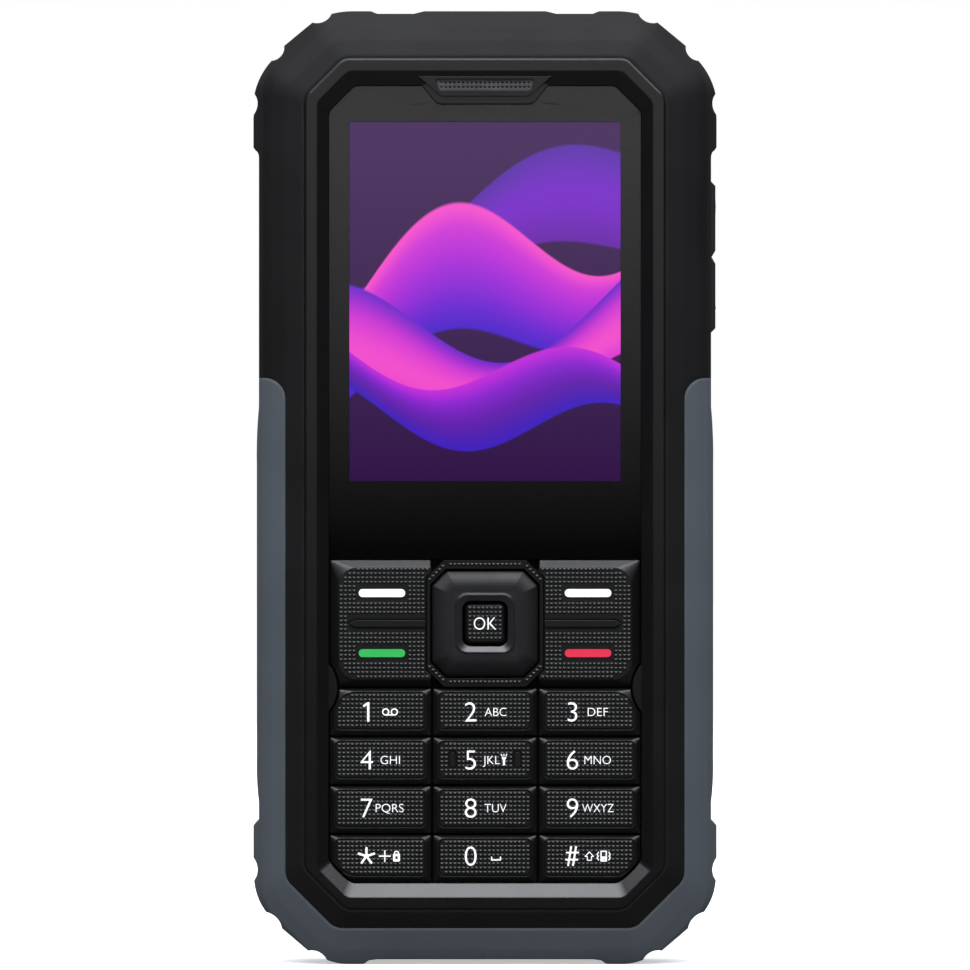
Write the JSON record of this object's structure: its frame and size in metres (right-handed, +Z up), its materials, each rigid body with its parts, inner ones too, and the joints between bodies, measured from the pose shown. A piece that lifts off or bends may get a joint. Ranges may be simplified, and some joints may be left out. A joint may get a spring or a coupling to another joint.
{
  "type": "rugged mobile phone",
  "caption": "Rugged keypad phone with rubber corner bumpers, small display, four-way ring, function rockers, socket flap and removable battery cover.",
  "frame": {"origin": "on the floor between the feet of the lower bumper, in the middle of width and thickness", "axes": "+Z up along the length, the front faces -Y, +X to the right as seen from the front"},
  "size_m": [0.0632, 0.0158, 0.13],
  "materials": {
    "bezel_plastic": "hard black plastic, satin",
    "black_rubber": "matt black overmoulded rubber",
    "grey_rubber": "matt blue-grey overmoulded rubber",
    "cover_glass": "polished",
    "mask_print": "black print",
    "foam": "black foam tape",
    "display_picture": "lit picture",
    "sheet_metal": "plain sheet",
    "flex_film": "amber film",
    "earpiece_trim": "satin",
    "mesh_metal": "dark perforated sheet",
    "component_black": "moulded",
    "mat_silicone": "black silicone",
    "circuit_board": "green solder mask",
    "inner_plastic": "moulded",
    "key_plastic": "black with raised knurl",
    "ring_plastic": "satin black",
    "shell_plastic": "fine texture",
    "steel": "plain",
    "battery_wrap": "dark wrap",
    "contact_metal": "gold plated",
    "cover_plastic": "fine texture",
    "seal_silicone": "red silicone",
    "camera_glass": "polished",
    "lamp_lens": "yellow-white",
    "torch_guide": "frosted clear",
    "rocker_plastic": "satin"
  },
  "bodies": {
    "phone": {"front_bezel": "bezel_plastic", "upper_bumper": "black_rubber", "lower_bumper": "grey_rubber", "display_lens": "cover_glass", "lens_mask": "mask_print", "lens_gasket": "foam", "display_panel": "display_picture", "display_frame": "sheet_metal", "display_flex": "flex_film", "earpiece_surround": "earpiece_trim", "earpiece_mesh": "mesh_metal", "earpiece_receiver": "component_black", "keypad_mat": "mat_silicone", "dome_sheet": "flex_film", "main_board": "circuit_board", "nav_surround": "key_plastic", "rear_housing": "shell_plastic", "housing_screws": "steel", "battery": "battery_wrap", "battery_contacts": "contact_metal", "sim_holder": "sheet_metal", "memory_card_holder": "sheet_metal", "camera_module": "component_black", "camera_window": "camera_glass", "flash_led": "lamp_lens", "loudspeaker": "component_black", "speaker_grille": "mesh_metal", "antenna": "flex_film", "vibration_motor": "steel", "microphone": "sheet_metal", "torch_led": "lamp_lens", "torch_lens": "torch_guide", "usb_socket": "steel", "volume_switches": "component_black", "shield_can_upper": "sheet_metal", "shield_can_lower": "sheet_metal"},
    "four_way_carrier": {"nav_carrier": "inner_plastic"},
    "four_way_ring": {"nav_ring": "ring_plastic"},
    "ok_button": {"ok_key": "key_plastic"},
    "left_function_rocker": {"left_function_key": "key_plastic"},
    "right_function_rocker": {"right_function_key": "key_plastic"},
    "rocker": {"volume_rocker": "rocker_plastic"},
    "flap": {"usb_flap": "black_rubber"},
    "cover": {"battery_cover": "cover_plastic", "cover_gasket": "seal_silicone"},
    "left_cover_screw": {"cover_screw_left": "steel"},
    "right_cover_screw": {"cover_screw_right": "steel"},
    "button_1": {"key_1": "key_plastic"},
    "button_2": {"key_2": "key_plastic"},
    "button_3": {"key_3": "key_plastic"},
    "button_4": {"key_4": "key_plastic"},
    "button_5": {"key_5": "key_plastic"},
    "button_6": {"key_6": "key_plastic"},
    "button_7": {"key_7": "key_plastic"},
    "button_8": {"key_8": "key_plastic"},
    "button_9": {"key_9": "key_plastic"},
    "button_star": {"key_star": "key_plastic"},
    "button_0": {"key_0": "key_plastic"},
    "button_hash": {"key_hash": "key_plastic"}
  },
  "joints": [
    {"name": "press_1", "type": "slide", "parent": "phone", "child": "button_1", "axis": [0, 1, 0], "range_m": [0, 0.0003], "stiffness_N_per_m": 400},
    {"name": "press_2", "type": "slide", "parent": "phone", "child": "button_2", "axis": [0, 1, 0], "range_m": [0, 0.0003], "stiffness_N_per_m": 400},
    {"name": "press_3", "type": "slide", "parent": "phone", "child": "button_3", "axis": [0, 1, 0], "range_m": [0, 0.0003], "stiffness_N_per_m": 400},
    {"name": "press_4", "type": "slide", "parent": "phone", "child": "button_4", "axis": [0, 1, 0], "range_m": [0, 0.0003], "stiffness_N_per_m": 400},
    {"name": "press_5", "type": "slide", "parent": "phone", "child": "button_5", "axis": [0, 1, 0], "range_m": [0, 0.0003], "stiffness_N_per_m": 400},
    {"name": "press_6", "type": "slide", "parent": "phone", "child": "button_6", "axis": [0, 1, 0], "range_m": [0, 0.0003], "stiffness_N_per_m": 400},
    {"name": "press_7", "type": "slide", "parent": "phone", "child": "button_7", "axis": [0, 1, 0], "range_m": [0, 0.0003], "stiffness_N_per_m": 400},
    {"name": "press_8", "type": "slide", "parent": "phone", "child": "button_8", "axis": [0, 1, 0], "range_m": [0, 0.0003], "stiffness_N_per_m": 400},
    {"name": "press_9", "type": "slide", "parent": "phone", "child": "button_9", "axis": [0, 1, 0], "range_m": [0, 0.0003], "stiffness_N_per_m": 400},
    {"name": "press_star", "type": "slide", "parent": "phone", "child": "button_star", "axis": [0, 1, 0], "range_m": [0, 0.0003], "stiffness_N_per_m": 400},
    {"name": "press_0", "type": "slide", "parent": "phone", "child": "button_0", "axis": [0, 1, 0], "range_m": [0, 0.0003], "stiffness_N_per_m": 400},
    {"name": "press_hash", "type": "slide", "parent": "phone", "child": "button_hash", "axis": [0, 1, 0], "range_m": [0, 0.0003], "stiffness_N_per_m": 400},
    {"name": "press_ok", "type": "slide", "parent": "phone", "child": "ok_button", "axis": [0, 1, 0], "range_m": [0, 0.0003], "stiffness_N_per_m": 400},
    {"name": "four_way_up_down", "type": "hinge", "parent": "phone", "child": "four_way_carrier", "pos_m": [0, -0.0046, 0.04645], "axis": [1, 0, 0], "range_deg": [-1.8, 1.8], "stiffness_Nm_per_rad": 0.03},
    {"name": "four_way_left_right", "type": "hinge", "parent": "four_way_carrier", "child": "four_way_ring", "pos_m": [0, -0.0046, 0.04645], "axis": [0, 0, 1], "range_deg": [-1.8, 1.8], "stiffness_Nm_per_rad": 0.03},
    {"name": "left_function_rock", "type": "hinge", "parent": "phone", "child": "left_function_rocker", "pos_m": [-0.0146, -0.005, 0.04645], "axis": [1, 0, 0], "range_deg": [-1.8, 1.8], "stiffness_Nm_per_rad": 0.03},
    {"name": "right_function_rock", "type": "hinge", "parent": "phone", "child": "right_function_rocker", "pos_m": [0.0146, -0.005, 0.04645], "axis": [1, 0, 0], "range_deg": [-1.8, 1.8], "stiffness_Nm_per_rad": 0.03},
    {"name": "volume_rock", "type": "hinge", "parent": "phone", "child": "rocker", "pos_m": [0.02855, 0, 0.09648], "axis": [0, 1, 0], "range_deg": [-1.6, 1.6], "stiffness_Nm_per_rad": 0.05},
    {"name": "flap_open", "type": "hinge", "parent": "phone", "child": "flap", "pos_m": [-0.03085, 0.0003, 0.10803], "axis": [0, 1, 0], "range_deg": [0, 110], "stiffness_Nm_per_rad": 0.004},
    {"name": "cover_lift", "type": "slide", "parent": "phone", "child": "cover", "axis": [0, 1, 0], "range_m": [0, 0.03]},
    {"name": "left_screw_turn", "type": "hinge", "parent": "cover", "child": "left_cover_screw", "pos_m": [-0.0155, 0.007, 0.0142], "axis": [0, 1, 0], "continuous": true},
    {"name": "right_screw_turn", "type": "hinge", "parent": "cover", "child": "right_cover_screw", "pos_m": [0.0155, 0.007, 0.0142], "axis": [0, 1, 0], "continuous": true}
  ]
}
